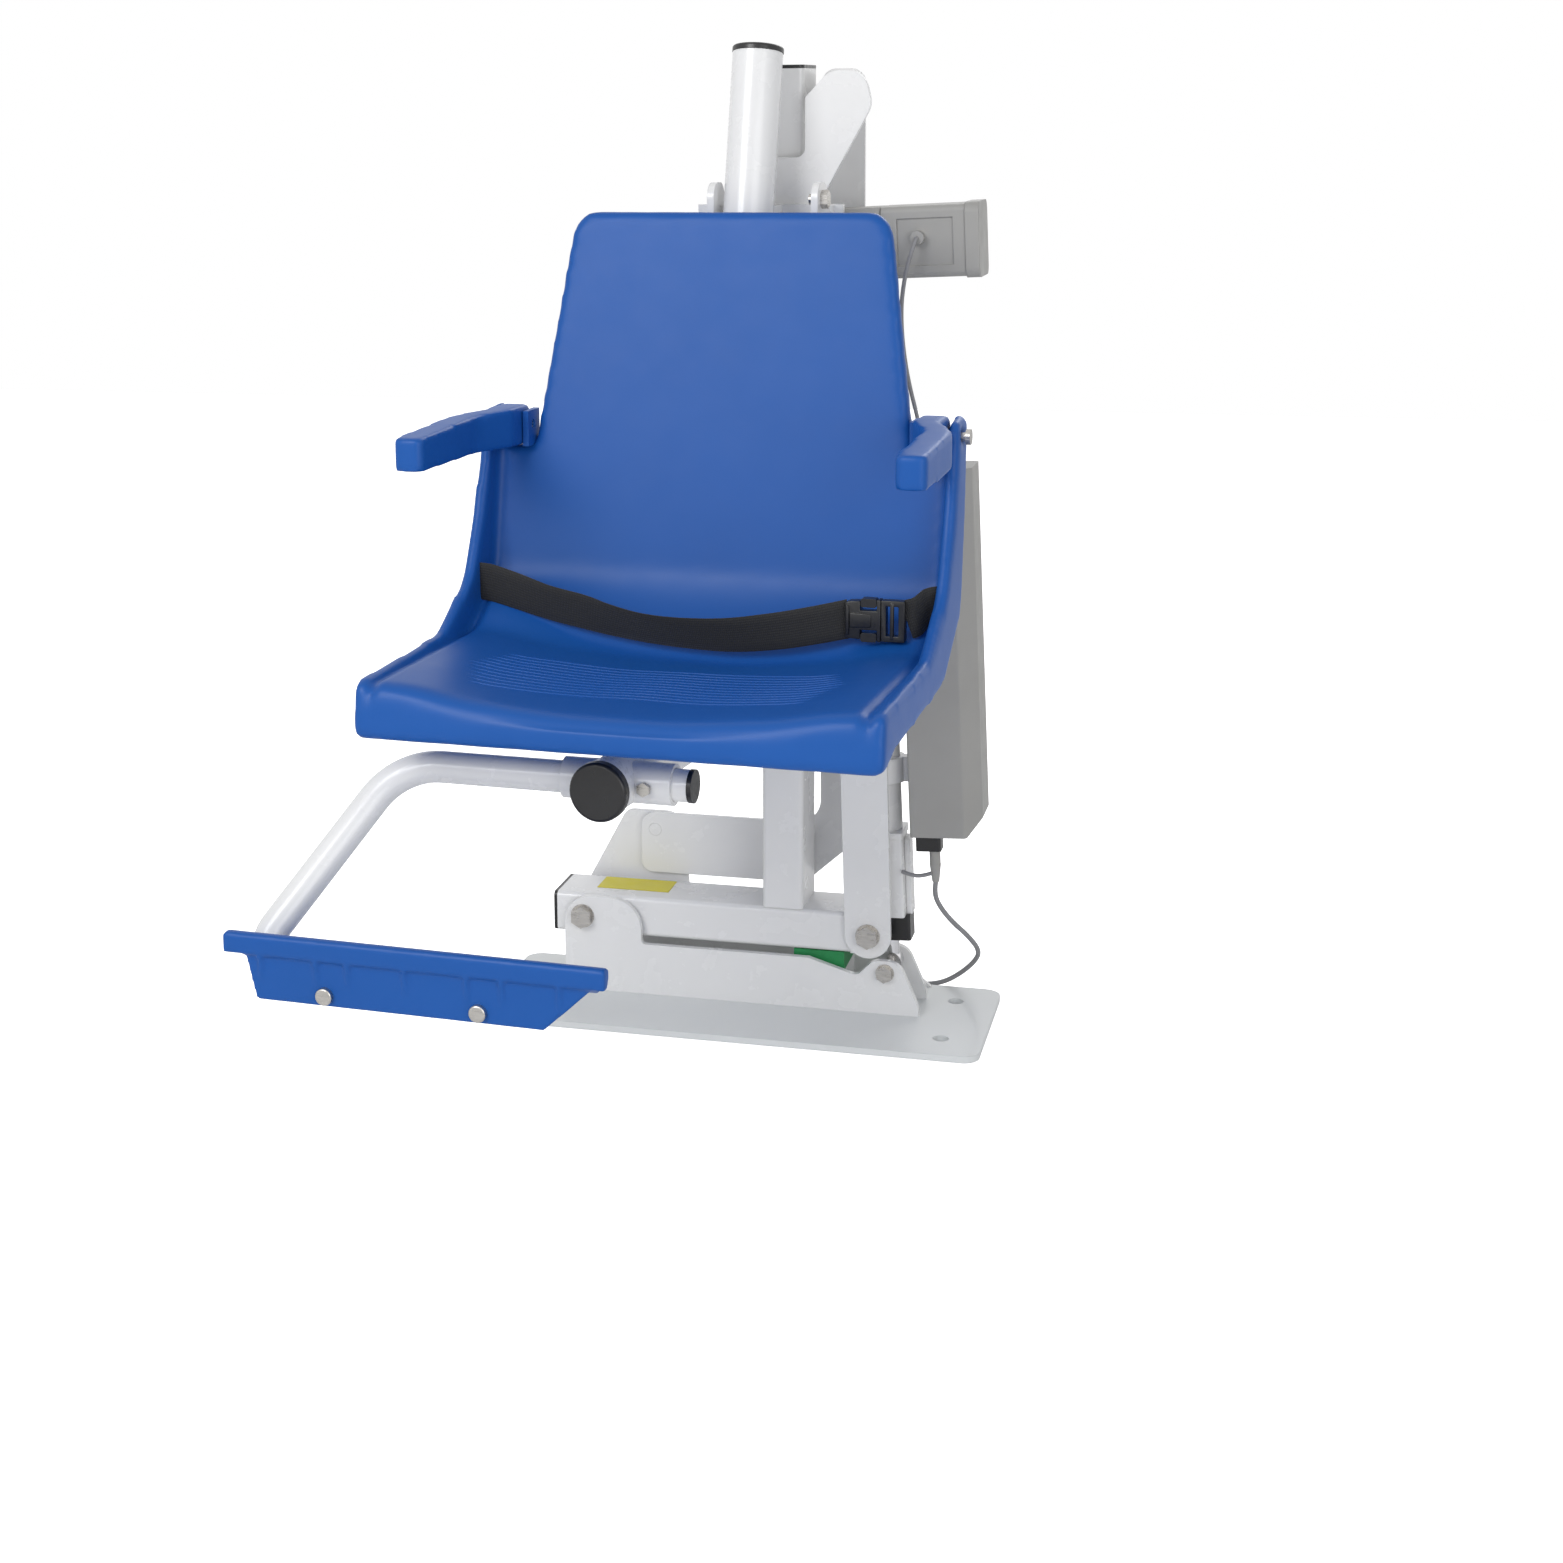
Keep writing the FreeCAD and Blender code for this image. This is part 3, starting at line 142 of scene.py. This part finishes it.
def brushed(name, colour, rough, stretch):
    material, tree, shader = new_material(name)
    shader.inputs["Metallic"].default_value = 1.0
    lines = add_noise(tree, 60.0, 5.0, 0.6, stretch)
    low, high = mottle(colour, 0.12)
    tint = ramp(tree, lines.outputs["Fac"], [(0.3, low), (0.7, high)])
    tree.links.new(tint.outputs["Color"], shader.inputs["Base Color"])
    gloss = ramp(tree, lines.outputs["Fac"], [(0.3, rough - 0.06), (0.7, rough + 0.1)])
    tree.links.new(gloss.outputs["Color"], shader.inputs["Roughness"])
    add_bump(tree, shader, lines.outputs["Fac"], 0.15, 0.0002)
    return material


def webbing_finish(name):
    """Woven black webbing: fine cross ribs with a pale dusty sheen on the high threads."""
    material, tree, shader = new_material(name)
    coords = tree.nodes.new("ShaderNodeTexCoord")
    weave = tree.nodes.new("ShaderNodeTexWave")
    weave.wave_type = "BANDS"
    weave.bands_direction = "X"
    weave.inputs["Scale"].default_value = 150.0
    weave.inputs["Distortion"].default_value = 1.2
    weave.inputs["Detail"].default_value = 2.0
    tree.links.new(coords.outputs["UV"], weave.inputs["Vector"])
    rows = tree.nodes.new("ShaderNodeTexWave")
    rows.wave_type = "BANDS"
    rows.bands_direction = "Y"
    rows.inputs["Scale"].default_value = 110.0
    tree.links.new(coords.outputs["UV"], rows.inputs["Vector"])
    both = tree.nodes.new("ShaderNodeMath")
    both.operation = "MULTIPLY"
    tree.links.new(weave.outputs["Fac"], both.inputs[0])
    tree.links.new(rows.outputs["Fac"], both.inputs[1])
    tint = ramp(tree, both.outputs["Value"], [(0.1, 0.004), (0.9, 0.016)])
    tree.links.new(tint.outputs["Color"], shader.inputs["Base Color"])
    shader.inputs["Roughness"].default_value = 0.72
    shader.inputs["Sheen Weight"].default_value = 0.15
    add_bump(tree, shader, both.outputs["Value"], 0.6, 0.0006)
    return material


WHITE = surface("powder_coat", (0.82, 0.82, 0.82), 0.27, spread=0.015, scale=4.0,
                bump_scale=260.0, bump=0.05, bump_depth=0.0003, rough_spread=0.012, coat=0.3,
                edge=1.2)
BLUE = surface("moulded_blue", (0.008, 0.090, 0.37), 0.40, spread=0.03, scale=5.0,
               bump_scale=520.0, bump=0.2, bump_depth=0.0003, rough_spread=0.02, edge=1.0,
               specular=0.28)
BLACK = surface("moulded_black", (0.013, 0.013, 0.014), 0.34, spread=0.2, scale=20.0, edge=0.6)
GREY = surface("housing_grey", (0.36, 0.355, 0.34), 0.5, spread=0.04, scale=8.0,
               bump_scale=900.0, bump=0.3, bump_depth=0.0003, edge=1.5)
GREEN = surface("green_rubber", (0.015, 0.24, 0.07), 0.62, spread=0.15, scale=30.0, edge=0.8)
LEAD = surface("grey_lead", (0.27, 0.27, 0.28), 0.5, spread=0.06, scale=40.0)
STEEL = brushed("stainless_steel", (0.52, 0.50, 0.47), 0.28, (1.0, 1.0, 6.0))
ROD = brushed("polished_rod", (0.72, 0.72, 0.73), 0.12, (1.0, 1.0, 0.2))
WEBBING = webbing_finish("black_webbing")
YELLOW = surface("blank_yellow_plate", (0.75, 0.66, 0.03), 0.4, spread=0.04, edge=0.4)
DECK = surface("deck_white", (0.72, 0.74, 0.74), 0.32, spread=0.02, scale=5.0,
               bump_scale=160.0, bump=0.06, rough_spread=0.015, coat=0.2, edge=1.2)
FINISH = {
    "white_paint": WHITE,
    "blue_plastic": BLUE,
    "black_plastic": BLACK,
    "stainless": STEEL,
    "polished_rod": ROD,
    "grey_plastic": GREY,
    "black_webbing": WEBBING,
    "black_rubber": LEAD,
    "green_pad": GREEN,
}


def dress(obj, material):
    obj.data.materials.clear()
    obj.data.materials.append(material)


slot_of = {part["node"]: part["material_slot"] for part in frame["record"]["subparts"]}
for node_name, node in nodes.items():
    dress(node, FINISH[slot_of[node_name]])
dress(nodes["deck_plate"], DECK)


# Mesh helpers
def add_mesh(name, mesh, body, material):
    obj = bpy.data.objects.new(name, mesh)
    bpy.context.scene.collection.objects.link(obj)
    dress(obj, material)
    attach(obj, body)
    return obj


def apply_modifiers(obj):
    graph = bpy.context.evaluated_depsgraph_get()
    evaluated = obj.evaluated_get(graph)
    mesh = bpy.data.meshes.new_from_object(evaluated)
    obj.modifiers.clear()
    obj.data = mesh


def shade_smooth(mesh, angle=None):
    for polygon in mesh.polygons:
        polygon.use_smooth = True
    if angle is not None:
        mesh.set_sharp_from_angle(angle=math.radians(angle))


def moulded(node_name, voxel, rounds, body, material, shape=None):
    """A soft-edged moulding: the frame's own solid, remeshed, relaxed and then shaped."""
    source = nodes[node_name].data.copy()
    obj = bpy.data.objects.new(node_name + "_moulding", source)
    bpy.context.scene.collection.objects.link(obj)
    remesh = obj.modifiers.new("remesh", "REMESH")
    remesh.mode = "VOXEL"
    remesh.voxel_size = voxel * MM
    relax = obj.modifiers.new("relax", "SMOOTH")
    relax.factor = 0.5
    relax.iterations = rounds
    apply_modifiers(obj)
    if shape is not None:
        back = SEAT_PLACE.inverted()
        for vertex in obj.data.vertices:
            place = (back @ vertex.co) / MM
            vertex.co = SEAT_PLACE @ (shape(place) * MM)
    shade_smooth(obj.data)
    dress(obj, material)
    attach(obj, body)
    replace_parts(obj, node_name)
    return obj


def smoothstep(low, high, value):
    t = min(1.0, max(0.0, (value - low) / (high - low)))
    return t * t * (3.0 - 2.0 * t)


# Lamps, room, floor and camera; the camera comes before the cords
def area_light(name, place, target, size, power):
    data = bpy.data.lights.new(name, "AREA")
    data.shape = "SQUARE"
    data.size = size
    data.energy = power
    lamp = bpy.data.objects.new(name, data)
    bpy.context.scene.collection.objects.link(lamp)
    lamp.location = place
    aim = Vector(target) - Vector(place)
    lamp.rotation_euler = aim.to_track_quat("-Z", "Y").to_euler()


def make_world():
    """A soft grey room that the camera, mirrors and glass see as white."""
    world = bpy.data.worlds.new("studio")
    bpy.context.scene.world = world
    world.use_nodes = True
    tree = world.node_tree
    room = tree.nodes["Background"]
    room.inputs["Color"].default_value = (0.97, 0.98, 1.0, 1.0)
    room.inputs["Strength"].default_value = 0.45
    white = tree.nodes.new("ShaderNodeBackground")
    white.inputs["Color"].default_value = (1.0, 1.0, 1.0, 1.0)
    path = tree.nodes.new("ShaderNodeLightPath")
    seen = path.outputs["Is Camera Ray"]
    for name in ("Is Glossy Ray", "Is Transmission Ray"):
        either = tree.nodes.new("ShaderNodeMath")
        either.operation = "MAXIMUM"
        tree.links.new(seen, either.inputs[0])
        tree.links.new(path.outputs[name], either.inputs[1])
        seen = either.outputs["Value"]
    mix = tree.nodes.new("ShaderNodeMixShader")
    tree.links.new(seen, mix.inputs["Fac"])
    tree.links.new(room.outputs["Background"], mix.inputs[1])
    tree.links.new(white.outputs["Background"], mix.inputs[2])
    tree.links.new(mix.outputs["Shader"], tree.nodes["World Output"].inputs["Surface"])


def make_floor():
    size = 6.0
    mesh = bpy.data.meshes.new("floor")
    low = -1.0 * MM
    corners = [(-size, -size, low), (size, -size, low), (size, size, low), (-size, size, low)]
    mesh.from_pydata(corners, [], [(0, 1, 2, 3)])
    floor = bpy.data.objects.new("floor", mesh)
    bpy.context.scene.collection.objects.link(floor)
    material, tree, shader = new_material("pale_floor")
    shader.inputs["Base Color"].default_value = (0.93, 0.93, 0.93, 1.0)
    shader.inputs["Roughness"].default_value = 0.8
    shader.inputs["Emission Color"].default_value = (1.0, 1.0, 1.0, 1.0)
    path = tree.nodes.new("ShaderNodeLightPath")
    tree.links.new(path.outputs["Is Camera Ray"], shader.inputs["Emission Strength"])
    dress(floor, material)


def make_camera():
    azimuth = math.radians(15.6)
    pitch = math.radians(10.4)
    roll = math.radians(0.7)
    forward = Vector((-math.sin(azimuth) * math.cos(pitch), math.cos(azimuth) * math.cos(pitch),
                      -math.sin(pitch)))
    level = Vector((math.cos(azimuth), math.sin(azimuth), 0.0))
    above = level.cross(forward)
    right = level * math.cos(roll) - above * math.sin(roll)
    up = above * math.cos(roll) + level * math.sin(roll)
    data = bpy.data.cameras.new("camera")
    photo_width = 1563.0
    focal_px = 2500.0
    centre_px = (620.0, 560.0)
    data.sensor_width = 36.0
    data.lens = 36.0 * focal_px / photo_width
    data.shift_x = 0.5 - centre_px[0] / photo_width
    data.shift_y = centre_px[1] / photo_width - 0.5
    camera = bpy.data.objects.new("camera", data)
    bpy.context.scene.collection.objects.link(camera)
    place = Vector((648.101, -2846.289, 1095.401)) * MM
    camera.matrix_world = Matrix.Translation(place) @ Matrix(
        ((right.x, up.x, -forward.x, 0.0), (right.y, up.y, -forward.y, 0.0),
         (right.z, up.z, -forward.z, 0.0), (0.0, 0.0, 0.0, 1.0)))
    bpy.context.scene.camera = camera


make_world()
make_floor()
make_camera()


# Leads: the routes' points are part.py's, in millimetres, and the free lead's length is in metres
LEAD_R = 3.0
LEAD_EXIT = Vector((62.0, 21.0, 110.0))
HELD_R = 2.4
FREE_LEAD = [(233, 22, 158), (238, 33, 138), (251, 52, 113), (268, 72, 90), (280, 94, 64),
             (271, 112, 43), (251, 122, 22), (230, 126, 8), (205, 124, 3.8), (178, 123, 6.4)]
MOTOR_LEAD = [(68, 4, 876), (67, -6, 872), (56, -8, 842), (46, 2, 792), (47, 22, 722),
              (60, 38, 650), (64, 44, 607)]
HELD_LEAD = [(57.4, 21, 120), (47, 22, 116), (35, 15, 118), (22, 18, 122)]


def nurbs(name, points, radius, body):
    """A smooth round cable along control points in metres."""
    curve = bpy.data.curves.new(name, "CURVE")
    curve.dimensions = "3D"
    curve.resolution_u = 16
    curve.bevel_depth = radius
    curve.bevel_resolution = 5
    curve.use_fill_caps = True
    line = curve.splines.new("NURBS")
    line.points.add(len(points) - 1)
    for point, place in zip(line.points, points):
        point.co = (*place, 1.0)
    line.order_u = 3
    line.use_endpoint_u = True
    obj = bpy.data.objects.new(name, curve)
    bpy.context.scene.collection.objects.link(obj)
    obj.data.materials.append(LEAD)
    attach(obj, body)
    return obj


lead_exit = RAM_PLACE @ (LEAD_EXIT * MM)
free_lead = nurbs("charge_cable", [lead_exit] + [Vector(place) * MM for place in FREE_LEAD],
                  LEAD_R * MM, "base")
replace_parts(free_lead, "charge_lead")
held = nurbs("held_cable", [RAM_PLACE @ (Vector(place) * MM) for place in HELD_LEAD],
             HELD_R * MM, "ram")
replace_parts(held, "ram_lead")
nurbs("motor_cable", [RAM_PLACE @ (Vector(place) * MM) for place in MOTOR_LEAD], HELD_R * MM, "ram")


# Seat shell, armrests and footrest tray
SEAT_MID = -6.0
PAN_Z = 514.0
ABOVE_PAN_Z = 640.0
PAN_DISH = 13.0
SIDE_RAMP = 9.0


def shape_seat(place):
    """Dishes the pan and rounds it up into the wings; the rest stays as the frame has it."""
    x, y, z = place
    across = abs(x - SEAT_MID)
    on_pan = smoothstep(-150.0, -215.0, y) * smoothstep(PAN_Z - 30.0, PAN_Z - 8.0, z)
    inside = 1.0 - smoothstep(244.0, 258.0, across)
    low = smoothstep(PAN_Z + 60.0, PAN_Z + 20.0, z)
    dish = -PAN_DISH * (1.0 - smoothstep(30.0, 225.0, across))
    ramp_up = SIDE_RAMP * smoothstep(150.0, 250.0, across) * inside
    z += on_pan * low * (dish + ramp_up)
    return Vector((x, y, z))


seat = moulded("seat_shell", 4.0, 22, "carrier", BLUE, shape_seat)
for side in ("left", "right"):
    moulded("armrest_" + side, 3.0, 8, "armrest_" + side + "_arm", BLUE)
moulded("footrest_tray", 2.2, 3, "footrest", BLUE)


# Anti-slip ridges on the pan, laid on the moulded surface
def seat_height(x, y):
    """The moulded seat's top at a point of the seat's own axes, in millimetres."""
    place = SEAT_PLACE @ (Vector((x, y, ABOVE_PAN_Z)) * MM)
    hit, spot = seat.ray_cast(place, Vector((0.0, 0.0, -1.0)))[:2]
    return spot.z / MM if hit else PAN_Z


def tube_mesh(name, lines, radius, sides, body, material):
    """Fine round beads along lines of points in the seat's own axes."""
    verts = []
    faces = []
    for line in lines:
        first = len(verts)
        count = len(line)
        for i, (x, y, z) in enumerate(line):
            taper = min(1.0, min(i, count - 1 - i) / 3.0 + 0.1)
            for k in range(sides):
                turn = 2 * math.pi * k / sides
                verts.append(SEAT_PLACE @ (Vector((x, y + radius * taper * math.cos(turn),
                                                   z + radius * taper * math.sin(turn))) * MM))
        for i in range(count - 1):
            for k in range(sides):
                a = first + i * sides + k
                b = first + i * sides + (k + 1) % sides
                faces.append((a, b, b + sides, a + sides))
        last = first + (count - 1) * sides
        faces.append(tuple(first + k for k in reversed(range(sides))))
        faces.append(tuple(last + k for k in range(sides)))
    mesh = bpy.data.meshes.new(name)
    mesh.from_pydata(verts, [], faces)
    shade_smooth(mesh)
    return add_mesh(name, mesh, body, material)


RIDGES = 12
RIDGE_STEP = 11.5
RIDGE_R = 1.15
RIDGE_SINK = 0.15
ridges = []
for row in range(RIDGES):
    y0 = -320.0 - row * RIDGE_STEP
    half = 205.0 - 4.0 * abs(row - 5)
    ridge = []
    for step in range(61):
        x = SEAT_MID - half + step * half / 30.0
        y = y0 + 9.0 * math.cos((x - SEAT_MID) / 62.0) + 2.0 * math.sin(x / 31.0 + 0.2 * row)
        ridge.append((x, y, seat_height(x, y) - RIDGE_SINK))
    ridges.append(ridge)
tube_mesh("pan_ridges", ridges, RIDGE_R, 8, "carrier", BLUE)


# Lap belt and buckle
def spline(points, steps):
    """Catmull-Rom places through the points."""
    ends = [points[0]] + list(points) + [points[-1]]
    out = []
    for i in range(1, len(ends) - 2):
        p0, p1, p2, p3 = (Vector(p) for p in ends[i - 1:i + 3])
        for k in range(steps):
            t = k / steps
            out.append(0.5 * (2 * p1 + (p2 - p0) * t + (2 * p0 - 5 * p1 + 4 * p2 - p3) * t * t
                              + (3 * p1 - p0 - 3 * p2 + p3) * t * t * t))
    out.append(Vector(points[-1]))
    return out


def webbing(name, points, node_name):
    """A woven strap along (x, y, z, tilt) points; a tilt in degrees leans its top forward."""
    width = WEB_WIDTH
    thick = WEB_THICK
    line = spline([Vector(p) for p in points], 10)
    across = [-0.5, -0.47, -0.25, 0.0, 0.25, 0.47, 0.5]
    depth = [0.2, 0.5, 0.5, 0.5, 0.5, 0.5, 0.2]
    mesh = bpy.data.meshes.new(name)
    build = bmesh.new()
    uv = build.loops.layers.uv.new("weave")
    rings = []
    run = 0.0
    for i, spot in enumerate(line):
        here = Vector(spot[:3])
        ahead = Vector(line[min(i + 1, len(line) - 1)][:3]) - Vector(line[max(i - 1, 0)][:3])
        ahead.normalize()
        lean = math.radians(spot[3])
        upward = Vector((0.0, -math.sin(lean), math.cos(lean)))
        upward = (upward - ahead * upward.dot(ahead)).normalized()
        face = ahead.cross(upward)
        if i:
            run += (here - Vector(line[i - 1][:3])).length
        ring = []
        for side in (1, -1):
            order = range(len(across)) if side == 1 else reversed(range(len(across)))
            for k in order:
                place = here + upward * (across[k] * width) + face * (side * depth[k] * thick)
                ring.append((build.verts.new(SEAT_PLACE @ (place * MM)), across[k] * width))
        rings.append((run, ring))
    for (run_a, a), (run_b, b) in zip(rings, rings[1:]):
        count = len(a)
        for k in range(count):
            n = (k + 1) % count
            face = build.faces.new((a[k][0], a[n][0], b[n][0], b[k][0]))
            for loop, (u, v) in zip(face.loops, ((run_a, a[k][1]), (run_a, a[n][1]),
                                                 (run_b, b[n][1]), (run_b, b[k][1]))):
                loop[uv].uv = (u * MM, v * MM)
    build.faces.new([vert for vert, _ in reversed(rings[0][1])])
    build.faces.new([vert for vert, _ in rings[-1][1]])
    bmesh.ops.recalc_face_normals(build, faces=build.faces)
    build.to_mesh(mesh)
    build.free()
    shade_smooth(mesh, 40.0)
    obj = add_mesh(name, mesh, "carrier", WEBBING)
    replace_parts(obj, node_name)


WEB_WIDTH = 42.0
WEB_THICK = 2.2
BUCKLE_Y = -242.0
webbing("belt_left_web", [
    (-274, -214, 569, 0), (-252, -215, 568, 0), (-218, -224, 562, 4), (-175, -235, 553, 12),
    (-130, -246, 547, 14), (-95, -254, 541, 24), (-55, -261, 536, 30), (-10, -265, 534, 28),
    (40, -266, 535, 20), (90, -262, 541, 10), (130, -254, 548, 4), (166, BUCKLE_Y, 555, 0)],
    "belt_left")
webbing("belt_right_web", [
    (226, BUCKLE_Y + 2, 556, 0), (236, -236, 560, 0), (246, -222, 567, 0), (262, -214, 569, 0)],
    "belt_right")


def buckle_plate(name, outline, y0, y1, bevel, hole=None):
    """An upright black plate with rounded edges; a hole has as many (x, z) corners as it has."""
    build = bmesh.new()
    loops = []
    for corners in [outline] + ([hole] if hole else []):
        for y in (y0, y1):
            loops.append([build.verts.new(Vector((x, y, z)) * MM) for x, z in corners])
    count = len(outline)
    if hole:
        front, back, inner_front, inner_back = loops
        for k in range(count):
            n = (k + 1) % count
            build.faces.new((front[k], front[n], inner_front[n], inner_front[k]))
            build.faces.new((back[n], back[k], inner_back[k], inner_back[n]))
            build.faces.new((front[n], front[k], back[k], back[n]))
            build.faces.new((inner_front[k], inner_front[n], inner_back[n], inner_back[k]))
    else:
        front, back = loops
        build.faces.new(front)
        build.faces.new(list(reversed(back)))
        for k in range(count):
            n = (k + 1) % count
            build.faces.new((front[n], front[k], back[k], back[n]))
    bmesh.ops.recalc_face_normals(build, faces=build.faces)
    sharp = [edge for edge in build.edges if edge.calc_face_angle(0.0) > math.radians(25.0)]
    bmesh.ops.bevel(build, geom=sharp, offset=bevel * MM, segments=3, affect="EDGES", profile=0.5,
                    clamp_overlap=True)
    bmesh.ops.transform(build, matrix=SEAT_PLACE, verts=build.verts)
    mesh = bpy.data.meshes.new(name)
    build.to_mesh(mesh)
    build.free()
    shade_smooth(mesh, 35.0)
    return add_mesh(name, mesh, "carrier", BLACK)


def join(pieces, name):
    """Joins pieces of one body and finish into the first."""
    build = bmesh.new()
    for piece in pieces:
        build.from_mesh(piece.data)
    build.to_mesh(pieces[0].data)
    build.free()
    shade_smooth(pieces[0].data, 35.0)
    for piece in pieces[1:]:
        bpy.data.objects.remove(piece)
    pieces[0].name = name
    return pieces[0]


SOCKET = [(162, 537), (166, 535), (178, 534.4), (178, 544.6), (196, 544.6), (196, 532.6),
          (200, 532.3), (200, 577.7), (196, 577.4), (196, 565.4), (178, 565.4), (178, 575.6),
          (166, 575), (162, 573)]
SOCKET_PANEL = [(167, 547), (190, 548), (190, 562), (167, 563)]
SOCKET_BAR = [(163, 539), (166.5, 539), (166.5, 571), (163, 571)]
socket = [buckle_plate("socket", SOCKET, -249.0, -235.0, 1.1),
          buckle_plate("socket_panel", SOCKET_PANEL, -250.4, -248.0, 1.0),
          buckle_plate("socket_bar", SOCKET_BAR, -251.2, -247.0, 1.2)]
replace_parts(join(socket, "buckle_socket_body"), "buckle_socket")
TONGUE = [(200.4, 533), (225, 533), (225.6, 535), (225.6, 575), (225, 577), (200.4, 577)]
TONGUE_HOLE = [(205.5, 539), (218, 539), (219, 540), (219, 570), (218, 571), (205.5, 571)]
TONGUE_BAR = [(210, 535), (214, 535), (214, 575), (210, 575)]
tongue = [buckle_plate("tongue", TONGUE, -248.0, -236.0, 1.1, hole=TONGUE_HOLE),
          buckle_plate("tongue_bar", TONGUE_BAR, -248.6, -243.6, 1.4)]
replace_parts(join(tongue, "buckle_tongue_frame"), "buckle_tongue")


# Blank yellow plate on the arm's top
def flat_plate(name, corners, z0, z1, body, material):
    build = bmesh.new()
    low = [build.verts.new(Vector((x, y, z0)) * MM) for x, y in corners]
    high = [build.verts.new(Vector((x, y, z1)) * MM) for x, y in corners]
    build.faces.new(list(reversed(low)))
    build.faces.new(high)
    for k in range(len(corners)):
        n = (k + 1) % len(corners)
        build.faces.new((low[k], low[n], high[n], high[k]))
    bmesh.ops.bevel(build, geom=build.edges[:], offset=0.25 * MM, segments=2, affect="EDGES",
                    clamp_overlap=True)
    mesh = bpy.data.meshes.new(name)
    build.to_mesh(mesh)
    build.free()
    return add_mesh(name, mesh, body, material)


BLANK_PLATE = [(-192, 38), (-100, 38), (-100, 82), (-192, 82)]
flat_plate("blank_plate", BLANK_PLATE, 127.9, 128.7, "mast", YELLOW)


# Lights
area_light("key", (-1.3, -3.0, 2.3), (0.0, -0.2, 0.5), 1.6, 54.0)
area_light("fill", (2.0, -2.6, 1.2), (0.0, -0.1, 0.5), 1.8, 22.0)
area_light("back", (0.6, 2.4, 2.4), (0.0, 0.0, 0.7), 1.5, 22.0)
bpy.context.scene.view_settings.view_transform = "Standard"
